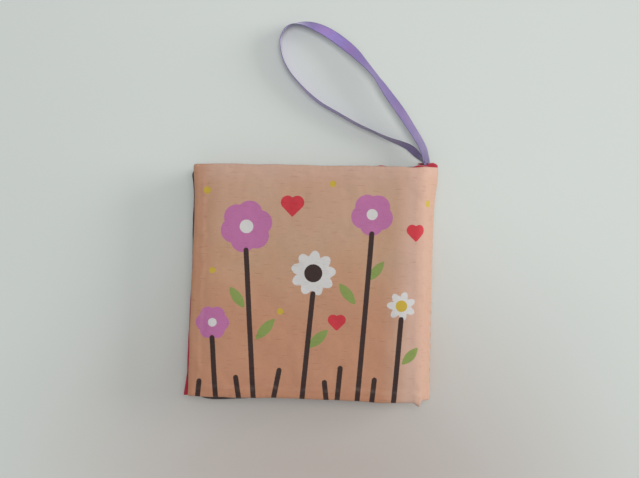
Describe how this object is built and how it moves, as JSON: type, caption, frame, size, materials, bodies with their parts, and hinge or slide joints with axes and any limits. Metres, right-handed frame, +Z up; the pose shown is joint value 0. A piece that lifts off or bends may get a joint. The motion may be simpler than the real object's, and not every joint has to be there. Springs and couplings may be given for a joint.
{
  "type": "crinkle cloth book",
  "caption": "Small padded cloth book for a baby: crinkling leaves sewn along one fold, which open flat, and a satin ribbon loop at the head of the spine.",
  "frame": {"origin": "under the middle of the closed book's outline, on the surface it lies on", "axes": "+X from the fore edge to the spine, +Y along the spine to the head where the ribbon is sewn in, +Z up through the front cover"},
  "size_m": [0.112, 0.1751, 0.0173],
  "materials": {
    "cover_cloth": "printed woven polyester, slight sheen",
    "page_cloth": "printed woven polyester",
    "red_cloth": "printed woven polyester",
    "charcoal_cloth": "printed woven polyester",
    "crinkle_film": "thin crumpled film",
    "wadding": "polyester wadding",
    "thread": "sewing thread",
    "satin": "satin ribbon"
  },
  "bodies": {
    "front_cover": {"front_cover_outer_cloth": "cover_cloth", "front_cover_inner_cloth": "page_cloth", "front_cover_crinkle_film": "crinkle_film", "front_cover_wadding": "wadding", "front_cover_seam_thread": "thread"},
    "upper_leaf": {"upper_leaf_upper_cloth": "red_cloth", "upper_leaf_under_cloth": "red_cloth", "upper_leaf_crinkle_film": "crinkle_film", "upper_leaf_wadding": "wadding", "upper_leaf_seam_thread": "thread"},
    "lower_leaf": {"lower_leaf_upper_cloth": "charcoal_cloth", "lower_leaf_under_cloth": "charcoal_cloth", "lower_leaf_crinkle_film": "crinkle_film", "lower_leaf_wadding": "wadding", "lower_leaf_seam_thread": "thread"},
    "back_cover": {"back_cover_outer_cloth": "cover_cloth", "back_cover_inner_cloth": "page_cloth", "back_cover_crinkle_film": "crinkle_film", "back_cover_wadding": "wadding", "back_cover_seam_thread": "thread", "binding_stitch": "thread", "hang_loop_tack": "thread", "hang_loop": "satin"}
  },
  "joints": [
    {"name": "lower_leaf_hinge", "type": "hinge", "parent": "back_cover", "child": "lower_leaf", "pos_m": [0.056, 0, 0.00865], "axis": [0, 1, 0], "range_deg": [0, 180]},
    {"name": "upper_leaf_hinge", "type": "hinge", "parent": "lower_leaf", "child": "upper_leaf", "pos_m": [0.056, 0, 0.00865], "axis": [0, 1, 0], "range_deg": [0, 180]},
    {"name": "front_cover_hinge", "type": "hinge", "parent": "upper_leaf", "child": "front_cover", "pos_m": [0.056, 0, 0.00865], "axis": [0, 1, 0], "range_deg": [0, 180]}
  ]
}
